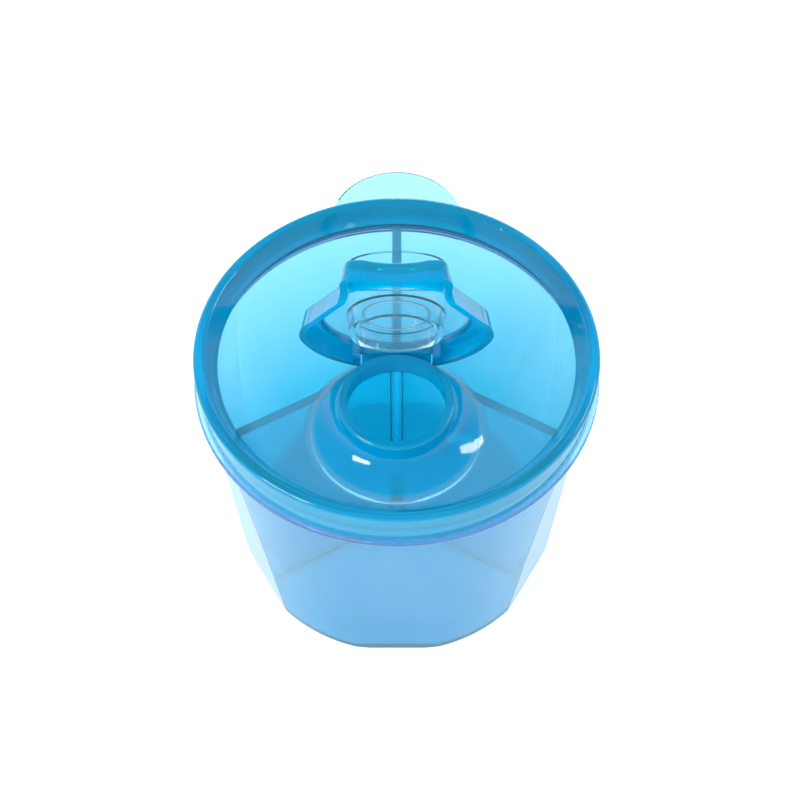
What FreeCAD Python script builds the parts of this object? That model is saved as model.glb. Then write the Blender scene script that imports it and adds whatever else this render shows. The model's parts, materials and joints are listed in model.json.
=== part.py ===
"""A three-compartment formula dispenser: bowl, lift-out divider, snap-on lid ring, turning lid disc with
its pouring spout, and the flip cap that plugs the spout.

Millimetres, +Z up. The origin is the centre of the face that the bowl stands on, and the front is -Y.
"""
import FreeCAD, Part
import math
import os
import re
import Sketcher
from FreeCAD import Placement, Rotation, Vector

X_AXIS = Vector(1, 0, 0)
Y_AXIS = Vector(0, 1, 0)
Z_AXIS = Vector(0, 0, 1)
FLUTE_ANGLES = range(30, 390, 60)
VANE_ANGLES = (90, 210, 330)
# How far a cutting tool runs past the face that it opens.
OVERSHOOT = 1.0
# The flare's curve: share of its height, and share of its spread that is left there.
FLARE_CURVE = ((0.25, 0.60), (0.5, 0.32), (0.75, 0.12), (1.0, 0.0))
# The cap's side, where its round turns in towards the tab: share of the radius, and degrees from +X.
CAP_SIDE = ((1.0, -20), (0.981, -4), (0.883, 11.5))
# The inward corner between side and tab, in ear radii out from the tab's edge and up from its root.
WAIST = (0.6, -1.0)
DIP = (0.15, 0.2)
HIP = (0.0, 1.6)
# Where the notch between the ears starts, as a share of the tab's half width.
NOTCH_SHARE = 0.62

# Every driving dimension, written once. Lengths in millimetres, angles in degrees.
SIZES = {
    "neck_radius": 51.0,
    "neck_height": 3.6,
    "shoulder": 1.0,
    "side_taper": 5.6,
    "wall_top": 74.0,
    "wall": 1.6,
    "floor": 2.0,
    "foot_chamfer": 1.0,
    "flute_depth": 1.7,
    "flute_stop": 4.0,
    "flange_reach": 1.3,
    "flange_thickness": 1.4,
    "thumb_radius": 19.0,
    "thumb_out": 0.6,
    "edge_round": 0.5,
    "vane_thickness": 2.6,
    "vane_top_gap": 0.3,
    "vane_end_gap": 0.4,
    "hub_radius": 2.6,
    "rim_overhang": 0.6,
    "rim_depth": 1.3,
    "skirt_wall": 2.0,
    "skirt_gap": 0.4,
    "skirt_lift": 0.2,
    "crest_width": 2.8,
    "crest_round": 1.2,
    "recess": 5.0,
    "lip_reach": 1.5,
    "catch_reach": 1.0,
    "disc_inset": 1.0,
    "disc_thickness": 1.5,
    "lid_seat": 1.4,
    "disc_gap": 0.3,
    "disc_axial_gap": 0.2,
    "neck_outer": 15.0,
    "spout_wall": 2.2,
    "spout_height": 10.8,
    "flare_spread": 9.0,
    "flare_lean": 1.9,
    "flare_height": 6.0,
    "lip_round": 0.8,
    "bracket_width": 18.0,
    "bracket_wall": 0.85,
    "bracket_clear": 0.2,
    "hinge_clear": 0.4,
    "pivot_radius": 1.0,
    "pivot_gap": 0.05,
    "pivot_length": 4.5,
    "side_gap": 0.4,
    "cheek": 2.0,
    "cheek_length": 6.0,
    "cap_seat_gap": 0.3,
    "tail_clear": 2.5,
    "cap_plate": 1.6,
    "cap_band": 1.2,
    "cap_skirt": 4.2,
    "cap_wall": 1.5,
    "cap_draft": 1.2,
    "cap_edge_round": 0.9,
    "window_margin": 3.6,
    "window_gap": 0.7,
    "tab_half_width": 12.2,
    "tab_length": 4.7,
    "tab_notch": 1.8,
    "tab_root": 6.3,
    "ear_round": 2.2,
    "plug_clearance": 0.2,
    "plug_wall": 1.6,
    "plug_length": 5.0,
    "plug_taper": 0.7,
    "open_angle": 75.6,
}

# Sizes that follow from the driving ones, each a sum of others. What fits onto a size is tied to it here.
DERIVED = {
    "wall_radius": "neck_radius + shoulder",
    "base_radius": "wall_radius - side_taper",
    "flute_top": "wall_top - flute_stop",
    "ring_outer": "neck_radius + skirt_gap + skirt_wall",
    "flange_radius": "ring_outer + flange_reach",
    "thumb_offset": "flange_radius + thumb_out",
    "rim_top": "wall_top + neck_height",
    "disc_seat": "rim_top + lid_seat",
    "plate_top": "disc_seat + disc_thickness",
    "crest_top": "plate_top + recess",
    "disc_radius": "neck_radius - disc_inset",
    "groove_radius": "disc_radius + disc_gap",
    "lip_radius": "groove_radius - catch_reach - lip_reach",
    "flare_radius": "neck_outer + flare_spread",
    "flare_offset": "lip_radius - flare_radius",
    "spout_offset": "flare_offset - flare_lean",
    "bracket_radius": "pivot_radius + pivot_gap + bracket_wall",
    "hinge_drop": "bracket_radius + bracket_clear",
    "hinge_reach": "neck_outer + hinge_clear + bracket_radius",
    "hinge_rise": "spout_height + cap_seat_gap - hinge_drop",
    "hinge_height": "plate_top + hinge_rise",
    "hinge_offset": "spout_offset - hinge_reach",
    "cap_radius": "hinge_reach + hinge_rise - tail_clear",
    "window_radius": "neck_outer + window_margin",
    "tab_reach": "cap_radius + tab_length",
    "tab_neck": "cap_radius - tab_root",
}

doc = FreeCAD.newDocument("formula_dispenser")
sheet = doc.addObject("Spreadsheet::Sheet", "dims")
for row, (alias, value) in enumerate(SIZES.items(), start=1):
    sheet.set(f"A{row}", alias)
    sheet.set(f"B{row}", str(value))
    sheet.setAlias(f"B{row}", alias)
doc.recompute()


def polar(radius, degrees):
    """A level point at a radius and an angle from +X."""
    angle = math.radians(degrees)
    return Vector(radius * math.cos(angle), radius * math.sin(angle), 0)


def dim(name):
    """A size in millimetres, for shapes that are worked out in code: the sheet's own, or a derived sum."""
    if name in SIZES:
        return float(sheet.get(name))
    total = 0.0
    sign = 1
    for word in DERIVED[name].split():
        if word in ("+", "-"):
            sign = 1 if word == "+" else -1
        else:
            total += sign * dim(word)
    return total


def bound(formula):
    """Spells a formula out for the expression engine: derived sizes as sums, the rest as sheet cells."""
    def spelled(match):
        word = match[0]
        if word in SIZES:
            return f"dims.{word}"
        return f"( {bound(DERIVED[word])} )" if word in DERIVED else word
    return re.sub(r"[a-z_]+", spelled, formula)


def bind(obj, **formulas):
    """Binds properties to formulas over the sheet. A double underscore in a name stands for a dot."""
    for name, formula in formulas.items():
        obj.setExpression(name.replace("__", "."), bound(formula))


def profile(name, corners):
    """A closed sketch in the XZ plane with straight sides, each corner bound to a radius and a height."""
    sketch = doc.addObject("Sketcher::SketchObject", name)
    sketch.Placement = Placement(Vector(), Rotation(X_AXIS, 90))
    count = len(corners)
    centre = Vector(10, 10, 0)
    starts = [centre + polar(5, 360 * i / count) for i in range(count)]
    for i in range(count):
        sketch.addGeometry(Part.LineSegment(starts[i], starts[(i + 1) % count]), False)
    for i, (radius, height) in enumerate(corners):
        sketch.addConstraint(Sketcher.Constraint("Coincident", i, 2, (i + 1) % count, 1))
        for kind, formula in (("DistanceX", radius), ("DistanceY", height)):
            index = sketch.addConstraint(Sketcher.Constraint(kind, -1, 1, i, 1, 10.0))
            sketch.setExpression(f"Constraints[{index}]", bound(formula))
    return sketch


def revolved(name, corners):
    """A full turn about Z of a profile."""
    turn = doc.addObject("Part::Revolution", name)
    turn.Source = profile(f"{name}_profile", corners)
    turn.Axis = Z_AXIS
    turn.Angle = 360
    turn.Solid = True
    return turn


def cylinder(name, radius, height, y="0", z="0"):
    """An upright cylinder whose foot stands at y, z."""
    obj = doc.addObject("Part::Cylinder", name)
    bind(obj, Radius=radius, Height=height, Placement__Base__y=y, Placement__Base__z=z)
    return obj


def box(name, length, width, height, x, y, z):
    """A box with its low corner at x, y, z."""
    obj = doc.addObject("Part::Box", name)
    bind(obj, Length=length, Width=width, Height=height,
         Placement__Base__x=x, Placement__Base__y=y, Placement__Base__z=z)
    return obj


def joined(name, pieces):
    """The pieces fused into one solid."""
    fuse = doc.addObject("Part::MultiFuse", name)
    fuse.Shapes = pieces
    return fuse


def cut(name, base, tool):
    """The base less the tool."""
    result = doc.addObject("Part::Cut", name)
    result.Base = base
    result.Tool = tool
    return result


def common(name, first, second):
    """What two solids share."""
    result = doc.addObject("Part::MultiCommon", name)
    result.Shapes = [first, second]
    return result


def turned(name, solid, angle):
    """The same solid turned about Z."""
    copy = doc.addObject("Part::Compound", name)
    copy.Links = [solid]
    copy.Placement = Placement(Vector(), Rotation(Z_AXIS, angle))
    return copy


def rounded(name, base, radius, pick):
    """Fillets the edges that pick() returns from the base's own, once the base is computed."""
    doc.recompute()
    chosen = pick(base.Shape.Edges)
    edges = [i + 1 for i, edge in enumerate(base.Shape.Edges) if any(edge.isSame(one) for one in chosen)]
    if not edges:
        raise RuntimeError(f"{name}: no edge to round")
    fillet = doc.addObject("Part::Fillet", name)
    fillet.Base = base
    fillet.Edges = [(i, dim(radius), dim(radius)) for i in edges]
    return fillet


def is_circle(edge, radius):
    """True for a circular edge of this radius."""
    return isinstance(edge.Curve, Part.Circle) and abs(edge.Curve.Radius - radius) < 0.01


def highest(edges):
    """The edges whose lowest point is the highest of all of them."""
    top = max(edge.BoundBox.ZMin for edge in edges)
    return [edge for edge in edges if edge.BoundBox.ZMin > top - 0.01]


def flutes(name, inset):
    """Six flat faces that slice the bowl's side, deepest at the foot, moved inwards by a formula."""
    slabs = []
    for angle in FLUTE_ANGLES:
        slab = doc.addObject("Part::Box", f"{name}_{angle}")
        bind(slab, Length="wall_top", Width="wall_top * 2", Height="wall_top * 2",
             Placement__Base__x=f"base_radius - flute_depth - ( {inset} )",
             Placement__Base__y="0 - wall_top")
        lean = ("atan( ( flute_depth + ( wall_radius - base_radius ) * flute_top / wall_top )"
                " / flute_top )")
        slab.Placement.Rotation = Rotation(Y_AXIS, 1)
        slab.setExpression("Placement.Rotation.Angle", bound(lean))
        slabs.append(turned(f"{name}_{angle}_turned", slab, angle))
    return joined(name, slabs)


def bowl_cavity(name, gap):
    """The room inside the bowl, made smaller all round the side by a gap."""
    inset = f"wall + {gap}"
    room = revolved(f"{name}_turned", [
        ("0", "floor"),
        (f"base_radius - {inset}", "floor"),
        (f"wall_radius - {inset}", "wall_top"),
        (f"neck_radius - {inset}", "rim_top"),
        (f"neck_radius - {inset}", "crest_top"),
        ("0", "crest_top"),
    ])
    return cut(name, room, flutes(f"{name}_flutes", inset))


def build_bowl():
    """The bowl: a tapered side with six flats, a rim flange and the thumb tab at the back."""
    side = revolved("bowl_side", [
        ("0", "0"),
        ("base_radius - foot_chamfer", "0"),
        ("base_radius", "foot_chamfer"),
        ("wall_radius", "wall_top"),
        ("neck_radius", "wall_top"),
        ("neck_radius", "rim_top"),
        ("0", "rim_top"),
    ])
    body = cut("bowl_fluted", side, flutes("bowl_flutes", "0"))
    flange = cylinder("bowl_flange", "flange_radius", "flange_thickness", z="wall_top - flange_thickness / 2")
    thumb = cylinder("bowl_thumb", "thumb_radius", "flange_thickness", y="thumb_offset",
                     z="wall_top - flange_thickness / 2")
    rim = rounded("bowl_rim", joined("bowl_rim_plain", [flange, thumb]), "edge_round",
                  lambda edges: [edge for edge in edges if edge.BoundBox.ZLength < 1e-4])
    return cut("bowl", joined("bowl_outside", [body, rim]), bowl_cavity("bowl_room", "0"))


def build_divider():
    """The divider: three vanes from a hub, trimmed to the bowl's inside less a gap."""
    height = "disc_seat - vane_top_gap - floor"
    vanes = []
    for angle in VANE_ANGLES:
        vane = box(f"vane_{angle}", "wall_radius", "vane_thickness", height,
                   "0", "0 - vane_thickness / 2", "floor")
        vanes.append(turned(f"vane_{angle}_turned", vane, angle))
    hub = cylinder("divider_hub", "hub_radius", height, z="floor")
    star = joined("divider_star", vanes + [hub])
    trim = cylinder("divider_trim", "neck_radius - wall - catch_reach", "wall_top * 2")
    room = common("divider_room", bowl_cavity("divider_side", "vane_end_gap"), trim)
    return common("divider", star, room)


def build_ring():
    """The lid ring: skirt, rolled crest, sloping inner shoulder and the groove that holds the disc."""
    foot = "wall_top + flange_thickness / 2 + skirt_lift"
    bead_foot = "crest_top - rim_depth"
    groove_top = "plate_top + disc_axial_gap"
    catch = "disc_radius - catch_reach"
    ring = revolved("ring_turned", [
        ("neck_radius + skirt_gap", foot),
        ("ring_outer", foot),
        ("ring_outer", bead_foot),
        ("ring_outer + rim_overhang", bead_foot),
        ("ring_outer + rim_overhang", "crest_top"),
        ("ring_outer + rim_overhang - crest_width", "crest_top"),
        ("lip_radius", groove_top),
        ("groove_radius", groove_top),
        ("groove_radius", "disc_seat"),
        (catch, "disc_seat"),
        (catch, "rim_top"),
        ("neck_radius + skirt_gap", "rim_top"),
    ])
    return rounded("lid_ring", ring, "crest_round", highest)


def circles(name, rows):
    """Level circles, each from a radius, a distance in front of the axis and a height."""
    rings = []
    for i, (radius, forward, height) in enumerate(rows):
        ring = doc.addObject("Part::Circle", f"{name}_{i}")
        bind(ring, Radius=radius, Placement__Base__y=f"0 - ( {forward} )", Placement__Base__z=height)
        rings.append(ring)
    return rings


def lofted(name, rows):
    """A solid through level circles."""
    loft = doc.addObject("Part::Loft", name)
    loft.Sections = circles(f"{name}_ring", rows)
    loft.Solid = True
    return loft


def flare(name, inset, foot):
    """The trumpet under the mouth, from the plate up to the neck, smaller all round by an inset."""
    rows = [(f"flare_radius - {inset}", "flare_offset", foot)]
    for up, share in FLARE_CURVE:
        rows.append((f"neck_outer + flare_spread * {share} - {inset}",
                     f"spout_offset + flare_lean * {share}",
                     f"plate_top + flare_height * {up}"))
    return lofted(name, rows)


def build_disc():
    """The lid disc: a flat plate with the flared spout and the bracket that carries the flip cap."""
    plate = cylinder("disc_plate", "disc_radius", "disc_thickness", z="disc_seat")
    neck = cylinder("spout_neck", "neck_outer", "spout_height - flare_height",
                    y="0 - spout_offset", z="plate_top + flare_height")
    skin = flare("spout_flare", "0", "plate_top")
    post = box("bracket_post", "bracket_width", "bracket_radius * 2", "hinge_rise + disc_thickness",
               "0 - bracket_width / 2", "0 - hinge_offset - bracket_radius", "disc_seat")
    barrel = doc.addObject("Part::Cylinder", "bracket_barrel")
    barrel.Placement.Rotation = Rotation(Y_AXIS, 90)
    bind(barrel, Radius="bracket_radius", Height="bracket_width", Placement__Base__x="0 - bracket_width / 2",
         Placement__Base__y="0 - hinge_offset", Placement__Base__z="hinge_height")
    bore = doc.addObject("Part::Cylinder", "bracket_bore")
    bore.Placement.Rotation = Rotation(Y_AXIS, 90)
    bind(bore, Radius="pivot_radius + pivot_gap", Height=f"bracket_width + {2 * OVERSHOOT}",
         Placement__Base__x=f"0 - bracket_width / 2 - {OVERSHOOT}",
         Placement__Base__y="0 - hinge_offset", Placement__Base__z="hinge_height")
    outside = joined("disc_outside", [plate, skin, neck, post, barrel])
    throat = flare("spout_throat", "spout_wall", "plate_top")
    mouth = cylinder("spout_mouth", "neck_outer - spout_wall", "spout_height", y="0 - spout_offset",
                     z="plate_top + flare_height")
    foot = cylinder("spout_foot", "flare_radius - spout_wall", "disc_thickness * 2", y="0 - flare_offset",
                    z="plate_top - disc_thickness * 2")
    hollow = joined("spout_hollow", [throat, mouth, foot])
    open_disc = cut("disc_open", outside, hollow)
    plain = cut("disc_bored", open_disc, bore)
    return rounded("lid_disc", plain, "lip_round",
                   lambda edges: highest([edge for edge in edges if is_circle(edge, dim("neck_outer"))]))


def cap_outline(grow, height):
    """The cap's plan at a height, grown all round: a round body and a tab with two ears. The plug's
    centre is at the origin and the tab points to +Y."""
    radius = dim("cap_radius")
    half = dim("tab_half_width")
    reach = dim("tab_reach")
    soft = dim("ear_round")
    neck = dim("tab_neck")
    low_side, wide, side = [polar(radius * share, degrees) for share, degrees in CAP_SIDE]
    waist, dip, hip = [Vector(half + soft * out, neck + soft * up, 0) for out, up in (WAIST, DIP, HIP)]
    corner = Vector(half, reach - soft, 0)
    top = Vector(half - soft, reach, 0)
    bend = top + Vector(math.sin(math.pi / 4), math.cos(math.pi / 4) - 1, 0) * soft
    slope = Vector(half * NOTCH_SHARE, reach, 0)

    def mirror(point):
        return Vector(-point.x, point.y, 0)

    edges = [
        Part.Arc(mirror(low_side), Vector(0, -radius, 0), low_side),
        Part.Arc(low_side, wide, side),
        Part.LineSegment(side, waist),
        Part.Arc(waist, dip, hip),
        Part.LineSegment(hip, corner),
        Part.Arc(corner, bend, top),
        Part.LineSegment(top, slope),
        Part.Arc(slope, Vector(0, reach - dim("tab_notch"), 0), mirror(slope)),
        Part.LineSegment(mirror(slope), mirror(top)),
        Part.Arc(mirror(top), mirror(bend), mirror(corner)),
        Part.LineSegment(mirror(corner), mirror(hip)),
        Part.Arc(mirror(hip), mirror(dip), mirror(waist)),
        Part.LineSegment(mirror(waist), mirror(side)),
        Part.Arc(mirror(side), mirror(wide), mirror(low_side)),
    ]
    wire = Part.Wire([edge.toShape() for edge in edges])
    if grow:
        wire = wire.makeOffset2D(grow, join=0, openResult=False, intersection=False)
    wire.translate(Vector(0, 0, height))
    return wire


def slab(grow_low, low, grow_high, high):
    """A solid with the cap's plan, grown by one amount at its foot and by another at its top."""
    return Part.makeLoft([cap_outline(grow_low, low), cap_outline(grow_high, high)], True, True)


def cap_window(radius, chord, low, high, slope):
    """The thin round window's tool: a disc cut off straight on the tab side, wider towards the foot."""
    disc = Part.makeCone(radius + slope, radius, high - low, Vector(0, 0, low))
    keep = Part.makeBox(radius * 4, radius * 2 + chord + slope, high - low,
                        Vector(-radius * 2, -radius * 2, low))
    return disc.common(keep)


def build_cap():
    """The flip cap, closed in its own frame: the origin is on the hinge axis and the tab points to +Y.
    It is a plate with a thicker band, a drafted skirt, the plug, and two cheeks with pivot stubs."""
    under = dim("hinge_drop")
    top = under + dim("cap_plate")
    foot = under - dim("cap_skirt")
    draft = dim("cap_draft")
    wall = dim("cap_wall")
    band = under - dim("cap_band")
    reach = dim("hinge_reach")
    plug_radius = dim("neck_outer") - dim("spout_wall") - dim("plug_clearance")
    plug_tip = plug_radius - dim("plug_taper")
    half = dim("bracket_width") / 2 + dim("side_gap")
    cheek = dim("cheek")
    cheek_length = dim("cheek_length")

    shell = slab(draft, foot, 0, top)
    rim = [edge for edge in shell.Edges
           if abs(edge.BoundBox.ZMin - top) < 1e-4 and abs(edge.BoundBox.ZMax - top) < 1e-4]
    shell = shell.makeFillet(dim("cap_edge_round"), rim)
    hollow = slab(draft - wall, foot - OVERSHOOT, -wall, band)
    window = cap_window(dim("window_radius"), dim("neck_outer") + dim("window_gap"),
                        band - OVERSHOOT, under, dim("cap_band"))
    notch = Part.makeBox(half * 2, reach, under - foot + OVERSHOOT,
                         Vector(-half, -reach - dim("cap_radius") / 2, foot - OVERSHOOT))
    shell = shell.cut(hollow).cut(window).cut(notch)
    plug = Part.makeCone(plug_tip, plug_radius, dim("plug_length"), Vector(0, 0, under - dim("plug_length")))
    bore = Part.makeCone(plug_tip - dim("plug_wall"), plug_radius - dim("plug_wall"), dim("plug_length"),
                         Vector(0, 0, under - dim("plug_length")))
    pieces = [plug.cut(bore)]
    for sign in (-1, 1):
        inner = half if sign > 0 else -half - cheek
        pieces.append(Part.makeBox(cheek, cheek_length, under * 2,
                                   Vector(inner, -reach - cheek_length / 2, -under)))
        stub_start = half if sign > 0 else -half
        pieces.append(Part.makeCylinder(dim("pivot_radius"), dim("pivot_length"),
                                        Vector(stub_start, -reach, 0), Vector(-sign, 0, 0)))
    solid = shell.multiFuse(pieces).removeSplitter()
    forward = Placement(Vector(0, -reach, 0), Rotation(Z_AXIS, 180))
    cap = doc.addObject("Part::Feature", "flip_cap")
    cap.Shape = solid.transformed(forward.toMatrix(), True)
    cap.Placement = Placement(Vector(), Rotation(-X_AXIS, 1))
    bind(cap, Placement__Base__y="0 - hinge_offset", Placement__Base__z="hinge_height",
         Placement__Rotation__Angle="open_angle * 1 deg")
    return cap


def check(parts):
    """Stops on a failed object, or on a sub-part that isn't one valid solid."""
    for obj in doc.Objects:
        bad = {"Invalid", "Error"} & set(obj.State)
        if bad:
            raise RuntimeError(f"{obj.Name}: {obj.State}")
    for part in parts:
        shape = part.Shape
        if shape.isNull() or not shape.isValid() or len(shape.Solids) != 1:
            raise RuntimeError(f"{part.Label}: not one valid solid")


def main():
    parts = [build_bowl(), build_divider(), build_ring(), build_disc(), build_cap()]
    for part, label in zip(parts, ("bowl", "divider", "lid_ring", "lid_disc", "flip_cap")):
        part.Label = label
    doc.recompute()
    check(parts)
    os.makedirs("parts", exist_ok=True)
    for part in parts:
        part.Shape.exportStep(f"parts/{part.Label}.step")


main()
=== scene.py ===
import json
import math

import bmesh
import bpy
from mathutils import Matrix, Vector


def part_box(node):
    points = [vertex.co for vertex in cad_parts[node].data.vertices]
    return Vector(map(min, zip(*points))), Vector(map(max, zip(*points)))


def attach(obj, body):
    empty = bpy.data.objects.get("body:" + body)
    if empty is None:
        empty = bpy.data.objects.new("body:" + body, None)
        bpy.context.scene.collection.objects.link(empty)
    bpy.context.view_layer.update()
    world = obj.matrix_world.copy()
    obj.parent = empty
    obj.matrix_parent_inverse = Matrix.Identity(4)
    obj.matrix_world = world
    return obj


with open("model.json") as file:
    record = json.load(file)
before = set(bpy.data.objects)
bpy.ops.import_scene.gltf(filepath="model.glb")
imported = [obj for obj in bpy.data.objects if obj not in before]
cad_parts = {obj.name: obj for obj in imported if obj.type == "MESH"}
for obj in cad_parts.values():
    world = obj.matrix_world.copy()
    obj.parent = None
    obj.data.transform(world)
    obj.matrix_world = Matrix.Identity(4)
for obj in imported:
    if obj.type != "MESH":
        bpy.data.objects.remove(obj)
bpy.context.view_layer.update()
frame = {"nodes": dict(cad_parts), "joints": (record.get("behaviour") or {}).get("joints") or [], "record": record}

bl_info = {
    "name": "Formula Dispenser Looks",
    "version": (1, 0, 0),
    "blender": (4, 5, 0),
    "location": "3D View > Sidebar > Dispenser",
    "description": "Finishes and fine parts for a see-through formula dispenser, with its studio",
    "category": "Object",
}

MM = 0.001

JOINTS = {joint["name"]: joint for joint in frame["joints"]}
OPENINGS = {opening["name"]: opening["box_m"] for opening in frame["record"]["physics"]["openings"]}
PLATE_TOP = JOINTS["lid_turn"]["pos_m"][2]
HINGE = Vector(JOINTS["cap_flip"]["pos_m"])
OPEN_ANGLE = math.radians(JOINTS["cap_flip"]["range_deg"][1])
MOUTH_CENTRE_Y = sum(corner[1] for corner in OPENINGS["spout_mouth"]) / 2
MOUTH_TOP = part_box("lid_disc")[1].z
RING_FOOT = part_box("lid_ring")[0].z
DISC_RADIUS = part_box("lid_disc")[1].x

# Where a part's finish changes, and how far the change takes. The bowl's flange begins a little way below the
# ring's lowest point.
FLANGE_DROP = 1.6 * MM
FLANGE_FADE = 0.4 * MM
# Painted shade: the bowl is deeper in colour and less clear up to this height, and fades to its wall's colour
# above it, for the shade on the table under the bowl.
SHADED_FOOT_TOP = 16 * MM
SHADED_FOOT_FADE = 58 * MM
# Painted glow: a thin band along the vanes' tops gets a deep, milky cyan that stands in for light carried along
# the vanes and shining out there.
VANE_GLOW_DEPTH = 0.1 * MM
VANE_GLOW_FADE = 0.05 * MM
FLARE_FADE = 1.2 * MM
WINDOW_RADIUS = 18.4 * MM
WINDOW_FADE = 0.4 * MM

# The surface's noises, as features per metre and levels of detail.
FLOW_NOISE = (90, 2)
POLISH_NOISE = (220, 3)
RIPPLE_NOISE = (120, 1)
MOTTLE_NOISE = (30, 3)
# The noise values at which the polish is at its best and at its dullest.
BEST_POLISH, DULLEST_POLISH = 0.35, 0.65
RIPPLE_DEPTH = 0.4 * MM
MOTTLE_DARKENING = 0.985

# ShaderNodeMix has sockets of its own for each type of data.
MIX_COLOUR_A, MIX_COLOUR_B, MIX_COLOUR_RESULT = 6, 7, 2
MIX_FLOAT_A, MIX_FLOAT_B, MIX_FLOAT_RESULT = 2, 3, 0

WHITE = (1, 1, 1)
# How steeply a view rises where the room is still white, and where it is fully tinted.
WHITE_BELOW, TINTED_ABOVE = 0.2, 0.45

# Air between the mouth's rim and the shut cap.
SHUT_CAP_GAP = 0.3 * MM
# How far behind the lid's centre the badge is, as a share of the disc's radius.
BADGE_PLACE = 0.66

# The camera's aim: how far to the side, and how high as a share of the bowl's height.
AIM_SIDE = 0.9 * MM
AIM_HEIGHT = 0.789
SENSOR_WIDTH_MM = 36
NEAREST_SEEN = 0.01
FLOOR_SIDES = 96
SOFTBOXES = {
    "key_softbox": {"place": (-0.5, -0.35, 0.55), "width": 0.30, "height": 0.14, "power": 2.4},
    "fill_softbox": {"place": (0.6, 0.25, 0.6), "width": 0.30, "height": 0.10, "power": 1.2},
}
# Light crosses many walls on its way through the lid, the divider and the bowl.
TRANSMISSION_BOUNCES = 32
DIFFUSE_BOUNCES = 6


def plastic_colour(name, description, default):
    """A colour setting."""
    return bpy.props.FloatVectorProperty(
        name=name, description=description, subtype="COLOR", size=3, min=0, max=1,
        default=default)


class DispenserPlastic(bpy.types.PropertyGroup):
    """The tinted polypropylene: thin walls are pale and clear, thick mouldings deep and milky."""
    absorbed: plastic_colour("Body tint", "Colour that is left after light crosses the plastic",
                             (0.0, 0.86, 0.985))
    tab_tint: plastic_colour(
        "Tab tint", "Thinnest parts: rim flange and thumb tab", (0.90, 0.76, 0.97))
    tab_flow: plastic_colour(
        "Tab flow lines", "Thinnest parts, along the flow lines", (0.84, 0.73, 0.95))
    tab_clarity: bpy.props.FloatProperty(
        name="Tab clarity", description="Share of light that passes through the thinnest parts",
        min=0, max=1, default=0.92)
    wall_tint: plastic_colour(
        "Wall tint", "Thin walls, where the resin ran thin", (0.68, 0.86, 0.98))
    wall_flow: plastic_colour(
        "Wall flow lines", "Thin walls, along the resin's flow lines", (0.58, 0.82, 0.96))
    wall_clarity: bpy.props.FloatProperty(
        name="Wall clarity", description="Share of light that passes through a thin wall",
        min=0, max=1, default=0.96)
    vane_tint: plastic_colour("Vane tint", "The divider's vanes", (0.36, 0.90, 1.0))
    vane_flow: plastic_colour(
        "Vane flow lines", "The divider, along the flow lines", (0.28, 0.86, 1.0))
    vane_clarity: bpy.props.FloatProperty(
        name="Vane clarity", description="Share of light that passes through a vane",
        min=0, max=1, default=0.88)
    # Painted shade, not a tint of the plastic: the bowl's floor and the low part of its wall are made deeper and
    # less clear for the shade on the table under the bowl.
    foot_tint: plastic_colour(
        "Foot tint", "The bowl's floor and the foot of its wall", (0.0, 0.64, 0.85))
    foot_flow: plastic_colour(
        "Foot flow lines", "The bowl's foot, along the flow lines", (0.0, 0.59, 0.82))
    foot_clarity: bpy.props.FloatProperty(
        name="Foot clarity", description="Share of light that passes through the bowl's foot",
        min=0, max=1, default=0.86)
    # Painted glow: the vanes' top edges get this deep, milky cyan for light carried along the vanes and shining
    # out of their tops.
    edge_tint: plastic_colour("Edge tint", "Cut-off top edges of the vanes", (0.0, 0.66, 1.0))
    edge_flow: plastic_colour(
        "Edge flow lines", "Vane edges, along the flow lines", (0.0, 0.60, 0.96))
    edge_clarity: bpy.props.FloatProperty(
        name="Edge clarity",
        description="Share of light that passes through the vanes' matt top edges",
        min=0, max=1, default=0.15)
    plate_tint: plastic_colour("Plate tint", "Lid plate and the cap's window", (0.96, 0.99, 1.0))
    plate_flow: plastic_colour(
        "Plate flow lines", "Lid plate, along the flow lines", (0.90, 0.97, 1.0))
    plate_clarity: bpy.props.FloatProperty(
        name="Plate clarity", description="Share of light that passes through the lid plate",
        min=0, max=1, default=0.95)
    thick_tint: plastic_colour("Thick tint", "Rim, cap and spout", (0.0, 0.57, 0.86))
    thick_flow: plastic_colour(
        "Thick flow lines", "Rim, cap and spout, along the flow lines", (0.0, 0.51, 0.82))
    thick_clarity: bpy.props.FloatProperty(
        name="Thick clarity", description="Share of light that passes through rim, cap and spout",
        min=0, max=1, default=0.55)
    wall_density: bpy.props.FloatProperty(
        name="Wall density", description="How fast a wall takes up light, per metre",
        min=0, default=350)
    vane_density: bpy.props.FloatProperty(
        name="Vane density", description="How fast the divider takes up light, per metre",
        min=0, default=30)
    lid_density: bpy.props.FloatProperty(
        name="Lid density", description="How fast ring, disc and cap take up light, per metre",
        min=0, default=40)
    ior: bpy.props.FloatProperty(
        name="Refractive index", description="Polypropylene's", min=1, default=1.49)
    gloss_roughness: bpy.props.FloatProperty(
        name="Roughness, polished", description="Where the mould was polished best",
        min=0, max=1, default=0.03)
    worn_roughness: bpy.props.FloatProperty(
        name="Roughness, dull", description="Where the mould was dullest",
        min=0, max=1, default=0.10)


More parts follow.
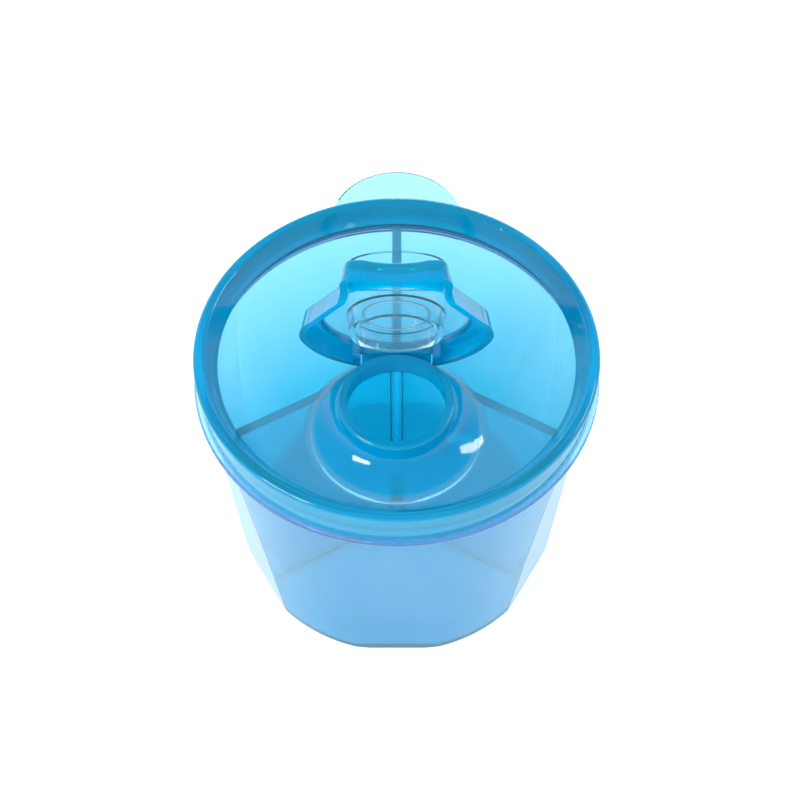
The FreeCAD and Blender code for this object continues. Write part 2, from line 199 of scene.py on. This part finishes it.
class DispenserDetails(bpy.types.PropertyGroup):
    """Sizes of the fine moulded parts."""
    badge_length: bpy.props.FloatProperty(
        name="Badge length", description="Plain raised oval on the lid, side to side",
        subtype="DISTANCE", unit="LENGTH", default=27 * MM)
    badge_width: bpy.props.FloatProperty(
        name="Badge width", description="Plain raised oval on the lid, front to back",
        subtype="DISTANCE", unit="LENGTH", default=9 * MM)
    badge_band: bpy.props.FloatProperty(
        name="Badge band", description="Width of the oval's raised line",
        subtype="DISTANCE", unit="LENGTH", default=0.7 * MM)
    badge_rise: bpy.props.FloatProperty(
        name="Badge rise", description="Height of the oval's raised line",
        subtype="DISTANCE", unit="LENGTH", default=0.3 * MM)
    seal_radius: bpy.props.FloatProperty(
        name="Seal ring radius", description="Fine ring on the cap's underside, inside the plug",
        subtype="DISTANCE", unit="LENGTH", default=8.6 * MM)
    seal_band: bpy.props.FloatProperty(
        name="Seal ring band", description="Width of the fine ring",
        subtype="DISTANCE", unit="LENGTH", default=0.6 * MM)
    seal_rise: bpy.props.FloatProperty(
        name="Seal ring rise", description="Height of the fine ring",
        subtype="DISTANCE", unit="LENGTH", default=0.4 * MM)


class DispenserStudio(bpy.types.PropertyGroup):
    """Camera, floor and lights."""
    camera_elevation: bpy.props.FloatProperty(
        name="Camera elevation", description="Angle above the horizon",
        subtype="ANGLE", unit="ROTATION", default=math.radians(53.94))
    camera_distance: bpy.props.FloatProperty(
        name="Camera distance", description="From the aim point",
        subtype="DISTANCE", unit="LENGTH", default=0.45)
    camera_lens: bpy.props.FloatProperty(
        name="Lens", description="Focal length in millimetres", default=73.1)
    floor_radius: bpy.props.FloatProperty(
        name="Floor radius", description="Of the round floor",
        subtype="DISTANCE", unit="LENGTH", default=4)
    floor_gap: bpy.props.FloatProperty(
        name="Floor gap", description="Air between floor and base, so that the faces don't meet",
        subtype="DISTANCE", unit="LENGTH", default=0.2 * MM)
    floor_colour: plastic_colour("Floor", "Pale floor", (0.93, 0.93, 0.93))
    floor_glow: bpy.props.FloatProperty(
        name="Floor glow", description="Light that the floor gives off, as a light table does",
        min=0, default=0.66)
    sky_colour: plastic_colour(
        "Room colour", "Tint of the even light from above", (0.42, 0.83, 1.0))
    sky: bpy.props.FloatProperty(
        name="Room light", description="Even light from above", min=0, default=0.80)


def settings(name):
    """The scene's values for one of the groups."""
    return getattr(bpy.context.scene, f"dispenser_{name}")


# ---- materials ----

def node(tree, kind, **values):
    """Adds a shader node and sets its inputs, or its own fields where no input has the name."""
    made = tree.nodes.new(kind)
    for key, value in values.items():
        title = key.replace("_", " ")
        if title in made.inputs:
            made.inputs[title].default_value = value
        else:
            setattr(made, key, value)
    return made


def noise(tree, scale, detail, stretch=(1, 1, 1)):
    """Noise over object coordinates. Scale is in features per metre."""
    place = node(tree, "ShaderNodeTexCoord")
    mapping = node(tree, "ShaderNodeMapping", Scale=stretch)
    grain = node(tree, "ShaderNodeTexNoise", Scale=scale, Detail=detail)
    tree.links.new(place.outputs["Object"], mapping.inputs["Vector"])
    tree.links.new(mapping.outputs["Vector"], grain.inputs["Vector"])
    return grain.outputs["Fac"]


def blended(tree, share, first, second):
    """A colour part way between two others."""
    mix = node(tree, "ShaderNodeMix", data_type="RGBA")
    inputs = mix.inputs
    for socket, value in ((inputs["Factor"], share), (inputs[MIX_COLOUR_A], first),
                          (inputs[MIX_COLOUR_B], second)):
        if isinstance(value, bpy.types.NodeSocket):
            tree.links.new(value, socket)
        else:
            socket.default_value = (*value, 1)
    return mix.outputs[MIX_COLOUR_RESULT]


def flow_tint(tree, look, stretch):
    """A look's colour, which drifts between its two tints along the resin's flow lines."""
    plastic = settings("plastic")
    return blended(tree, noise(tree, *FLOW_NOISE, stretch), getattr(plastic, f"{look}_tint"),
                   getattr(plastic, f"{look}_flow"))


def object_place(tree):
    """The shaded point, in the part's own coordinates."""
    return node(tree, "ShaderNodeTexCoord").outputs["Object"]


def step_at(tree, value, start, over):
    """0 up to a start and 1 from a little past it."""
    ramp = node(tree, "ShaderNodeMapRange", From_Min=start, From_Max=start + over)
    tree.links.new(value, ramp.inputs["Value"])
    return ramp.outputs["Result"]


def above(height, over):
    """Where a part is higher than this."""
    def where(tree):
        parts = node(tree, "ShaderNodeSeparateXYZ")
        tree.links.new(object_place(tree), parts.inputs["Vector"])
        return step_at(tree, parts.outputs["Z"], height, over)
    return where


def outside(centre, axis, radius, over):
    """Where a part is further than a radius from an axis."""
    def where(tree):
        offset = node(tree, "ShaderNodeVectorMath", operation="SUBTRACT")
        offset.inputs[1].default_value = centre
        across = node(tree, "ShaderNodeVectorMath", operation="CROSS_PRODUCT")
        across.inputs[1].default_value = axis
        distance = node(tree, "ShaderNodeVectorMath", operation="LENGTH")
        tree.links.new(object_place(tree), offset.inputs[0])
        tree.links.new(offset.outputs["Vector"], across.inputs[0])
        tree.links.new(across.outputs["Vector"], distance.inputs[0])
        return step_at(tree, distance.outputs["Value"], radius, over)
    return where


def tinted_plastic(name, density, *looks, flow_stretch=(1, 1, 0.15), ripple=0.05):
    """See-through blue polypropylene. Its body takes up light, flow lines drift over its tint,
    the mould's polish varies and the faces ripple a little. The first look covers the part, and
    each further one is a pair: the look, and where it takes over."""
    plastic = settings("plastic")
    material = bpy.data.materials.new(name)
    material.use_nodes = True
    tree = material.node_tree
    tree.nodes.clear()
    link = tree.links.new
    first, *others = looks
    output = node(tree, "ShaderNodeOutputMaterial")
    shader = node(tree, "ShaderNodeBsdfPrincipled", IOR=plastic.ior,
                  Transmission_Weight=getattr(plastic, f"{first}_clarity"))
    body = node(tree, "ShaderNodeVolumeAbsorption", Color=(*plastic.absorbed, 1), Density=density)
    tint = flow_tint(tree, first, flow_stretch)
    clear = None
    for look, where in others:
        share = where(tree)
        tint = blended(tree, share, tint, flow_tint(tree, look, flow_stretch))
        clearer = node(tree, "ShaderNodeMix", data_type="FLOAT")
        clearer.inputs[MIX_FLOAT_A].default_value = getattr(plastic, f"{first}_clarity")
        clearer.inputs[MIX_FLOAT_B].default_value = getattr(plastic, f"{look}_clarity")
        link(share, clearer.inputs["Factor"])
        if clear:
            link(clear, clearer.inputs[MIX_FLOAT_A])
        clear = clearer.outputs[MIX_FLOAT_RESULT]
    if clear:
        link(clear, shader.inputs["Transmission Weight"])
    polish = node(tree, "ShaderNodeMapRange", From_Min=BEST_POLISH, From_Max=DULLEST_POLISH,
                  To_Min=plastic.gloss_roughness, To_Max=plastic.worn_roughness)
    bump = node(tree, "ShaderNodeBump", Strength=ripple, Distance=RIPPLE_DEPTH)
    link(noise(tree, *POLISH_NOISE), polish.inputs["Value"])
    link(noise(tree, *RIPPLE_NOISE), bump.inputs["Height"])
    link(tint, shader.inputs["Base Color"])
    link(polish.outputs["Result"], shader.inputs["Roughness"])
    link(bump.outputs["Normal"], shader.inputs["Normal"])
    link(shader.outputs["BSDF"], output.inputs["Surface"])
    link(body.outputs["Volume"], output.inputs["Volume"])
    return material


def floor_finish(colour, glow):
    """Matt pale light table with the faintest mottle."""
    material = bpy.data.materials.new("studio_floor")
    material.use_nodes = True
    tree = material.node_tree
    shader = tree.nodes["Principled BSDF"]
    shader.inputs["Roughness"].default_value = 0.9
    shader.inputs["Emission Color"].default_value = (*WHITE, 1)
    shader.inputs["Emission Strength"].default_value = glow
    darker = tuple(channel * MOTTLE_DARKENING for channel in colour)
    mottled = blended(tree, noise(tree, *MOTTLE_NOISE), colour, darker)
    tree.links.new(mottled, shader.inputs["Base Color"])
    return material


def room_light(colour, strength):
    """Even light: tinted from above, and fading to white at the horizon, behind the object."""
    world = bpy.data.worlds.new("room_light")
    world.use_nodes = True
    tree = world.node_tree
    background = tree.nodes["Background"]
    direction = node(tree, "ShaderNodeTexCoord")
    parts = node(tree, "ShaderNodeSeparateXYZ")
    rise = node(tree, "ShaderNodeMapRange", From_Min=WHITE_BELOW, From_Max=TINTED_ABOVE)
    from_above = tuple(channel * strength for channel in colour)
    tree.links.new(direction.outputs["Generated"], parts.inputs["Vector"])
    tree.links.new(parts.outputs["Z"], rise.inputs["Value"])
    tree.links.new(blended(tree, rise.outputs["Result"], WHITE, from_above),
                   background.inputs["Color"])
    return world


def dress(name, material):
    """Gives a carried-over part its finish."""
    part = frame["nodes"][name]
    part.data.materials.clear()
    part.data.materials.append(material)


# ---- fine parts ----

def band(bm, inner, outer, low, high, steps=128):
    """A closed ring about Z with a square section."""
    corners = [bm.verts.new(place) for place in (
        (inner, 0, low), (outer, 0, low), (outer, 0, high), (inner, 0, high))]
    section = [bm.edges.new((corners[i], corners[(i + 1) % 4])) for i in range(4)]
    bmesh.ops.spin(bm, geom=corners + section, cent=(0, 0, 0), axis=(0, 0, 1),
                   angle=2 * math.pi, steps=steps, use_merge=True)
    bmesh.ops.remove_doubles(bm, verts=bm.verts, dist=1e-7)
    bmesh.ops.recalc_face_normals(bm, faces=bm.faces)


def add_piece(name, bm, body, material):
    """Makes the mesh a smooth piece of its own that moves with a body."""
    mesh = bpy.data.meshes.new(name)
    bm.to_mesh(mesh)
    bm.free()
    for face in mesh.polygons:
        face.use_smooth = True
    piece = bpy.data.objects.new(name, mesh)
    bpy.context.scene.collection.objects.link(piece)
    mesh.materials.append(material)
    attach(piece, body)


class DISPENSER_OT_bowl(bpy.types.Operator):
    """Finish the bowl"""
    bl_idname = "dispenser.bowl"
    bl_label = "Bowl"

    def execute(self, context):
        plastic = settings("plastic")
        flange_foot = RING_FOOT - FLANGE_DROP
        # The bowl's deep colour low down is painted shade. Higher up it fades to the wall's own colour, and the
        # thin flange and tab are pale.
        dress("bowl", tinted_plastic("bowl_plastic", plastic.wall_density, "foot",
                                     ("wall", above(SHADED_FOOT_TOP, SHADED_FOOT_FADE)),
                                     ("tab", above(flange_foot, FLANGE_FADE))))
        return {"FINISHED"}


class DISPENSER_OT_divider(bpy.types.Operator):
    """Finish the lift-out divider"""
    bl_idname = "dispenser.divider"
    bl_label = "Divider"

    def execute(self, context):
        plastic = settings("plastic")
        # The band along the vanes' tops is a painted glow.
        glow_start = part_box("divider")[1].z - VANE_GLOW_DEPTH
        dress("divider", tinted_plastic("divider_plastic", plastic.vane_density, "vane",
                                        ("edge", above(glow_start, VANE_GLOW_FADE)), ripple=0.08))
        return {"FINISHED"}


class DISPENSER_OT_lid_ring(bpy.types.Operator):
    """Finish the lid's ring"""
    bl_idname = "dispenser.lid_ring"
    bl_label = "Lid ring"

    def execute(self, context):
        plastic = settings("plastic")
        dress("lid_ring", tinted_plastic("lid_ring_plastic", plastic.lid_density, "thick",
                                         flow_stretch=(1, 1, 1), ripple=0.03))
        return {"FINISHED"}


class DISPENSER_OT_lid_disc(bpy.types.Operator):
    """Finish the turning disc and add its plain oval badge"""
    bl_idname = "dispenser.lid_disc"
    bl_label = "Lid disc and badge"

    def execute(self, context):
        details = settings("details")
        plastic = settings("plastic")
        finish = tinted_plastic("lid_disc_plastic", plastic.lid_density, "plate",
                                ("thick", above(PLATE_TOP, FLARE_FADE)),
                                flow_stretch=(1, 0.3, 1))
        dress("lid_disc", finish)
        bm = bmesh.new()
        half = details.badge_length / 2
        band(bm, half - details.badge_band, half, 0, details.badge_rise)
        flattening = details.badge_width / details.badge_length
        bmesh.ops.scale(bm, vec=(1, flattening, 1), verts=bm.verts)
        bmesh.ops.translate(bm, vec=(0, BADGE_PLACE * DISC_RADIUS, PLATE_TOP), verts=bm.verts)
        add_piece("lid_badge", bm, "lid_disc", finish)
        return {"FINISHED"}


class DISPENSER_OT_flip_cap(bpy.types.Operator):
    """Finish the flip cap and add the fine ring inside its plug"""
    bl_idname = "dispenser.flip_cap"
    bl_label = "Flip cap"

    def execute(self, context):
        details = settings("details")
        plastic = settings("plastic")
        underside = Vector((0, MOUTH_CENTRE_Y, MOUTH_TOP + SHUT_CAP_GAP))
        opened = (Matrix.Translation(HINGE) @ Matrix.Rotation(-OPEN_ANGLE, 4, "X")
                  @ Matrix.Translation(underside - HINGE))
        plug_axis = opened.to_3x3() @ Vector((0, 0, 1))
        border = outside(opened.translation, plug_axis, WINDOW_RADIUS, WINDOW_FADE)
        finish = tinted_plastic("flip_cap_plastic", plastic.lid_density, "plate",
                                ("thick", border), flow_stretch=(1, 1, 1), ripple=0.03)
        dress("flip_cap", finish)
        bm = bmesh.new()
        band(bm, details.seal_radius - details.seal_band, details.seal_radius,
             -details.seal_rise, 0)
        bmesh.ops.transform(bm, matrix=opened, verts=bm.verts)
        add_piece("cap_seal_ring", bm, "flip_cap", finish)
        return {"FINISHED"}


def add_light(name, place, aim, width, height, power):
    """A softbox that looks at a point. Sizes are in metres, and its power in watts."""
    lamp = bpy.data.lights.new(name, "AREA")
    lamp.shape = "RECTANGLE"
    lamp.size = width
    lamp.size_y = height
    lamp.energy = power
    light = bpy.data.objects.new(name, lamp)
    light.location = place
    light.rotation_euler = (aim - Vector(place)).to_track_quat("-Z", "Y").to_euler()
    bpy.context.scene.collection.objects.link(light)


class DISPENSER_OT_studio(bpy.types.Operator):
    """Lay the floor, hang the lights and set the camera"""
    bl_idname = "dispenser.studio"
    bl_label = "Studio"

    def execute(self, context):
        studio = settings("studio")
        scene = context.scene
        aim = Vector((AIM_SIDE, 0, AIM_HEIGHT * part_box("bowl")[1].z))

        bm = bmesh.new()
        bmesh.ops.create_circle(bm, cap_ends=True, segments=FLOOR_SIDES, radius=studio.floor_radius)
        floor_mesh = bpy.data.meshes.new("floor")
        bm.to_mesh(floor_mesh)
        bm.free()
        floor_mesh.transform(Matrix.Translation((0, 0, -studio.floor_gap)))
        floor = bpy.data.objects.new("floor", floor_mesh)
        floor_mesh.materials.append(floor_finish(studio.floor_colour, studio.floor_glow))
        scene.collection.objects.link(floor)

        scene.world = room_light(studio.sky_colour, studio.sky)
        for name, softbox in SOFTBOXES.items():
            add_light(name, aim=aim, **softbox)

        camera_data = bpy.data.cameras.new("camera")
        camera_data.lens = studio.camera_lens
        camera_data.sensor_width = SENSOR_WIDTH_MM
        camera_data.clip_start = NEAREST_SEEN
        camera = bpy.data.objects.new("camera", camera_data)
        back = Vector((0, -math.cos(studio.camera_elevation), math.sin(studio.camera_elevation)))
        camera.location = aim + back * studio.camera_distance
        camera.rotation_euler = (math.pi / 2 - studio.camera_elevation, 0, 0)
        scene.collection.objects.link(camera)
        scene.camera = camera
        scene.view_settings.view_transform = "Standard"
        scene.cycles.max_bounces = TRANSMISSION_BOUNCES
        scene.cycles.transmission_bounces = TRANSMISSION_BOUNCES
        scene.cycles.diffuse_bounces = DIFFUSE_BOUNCES
        return {"FINISHED"}


class DISPENSER_PT_panel(bpy.types.Panel):
    """Formula dispenser"""
    bl_idname = "DISPENSER_PT_panel"
    bl_label = "Formula Dispenser"
    bl_space_type = "VIEW_3D"
    bl_region_type = "UI"
    bl_category = "Dispenser"

    def draw(self, context):
        for group in GROUPS:
            box = self.layout.box()
            values = settings(group)
            for name in values.bl_rna.properties.keys():
                if name not in ("rna_type", "name"):
                    box.prop(values, name)
        for operator in OPERATORS:
            self.layout.operator(operator.bl_idname)


GROUPS = {"plastic": DispenserPlastic, "details": DispenserDetails, "studio": DispenserStudio}
OPERATORS = (DISPENSER_OT_bowl, DISPENSER_OT_divider, DISPENSER_OT_lid_ring, DISPENSER_OT_lid_disc,
             DISPENSER_OT_flip_cap, DISPENSER_OT_studio)


def register():
    """Adds the settings, the operators and the panel."""
    for cls in (*GROUPS.values(), *OPERATORS, DISPENSER_PT_panel):
        bpy.utils.register_class(cls)
    for name, group in GROUPS.items():
        setattr(bpy.types.Scene, f"dispenser_{name}", bpy.props.PointerProperty(type=group))


def unregister():
    """Takes them out again, in the opposite order."""
    for name in GROUPS:
        delattr(bpy.types.Scene, f"dispenser_{name}")
    for cls in reversed((*GROUPS.values(), *OPERATORS, DISPENSER_PT_panel)):
        bpy.utils.unregister_class(cls)


def main():
    """Runs every operator."""
    register()
    for operator in OPERATORS:
        group, name = operator.bl_idname.split(".")
        getattr(getattr(bpy.ops, group), name)()


if __name__ == "__main__":
    main()
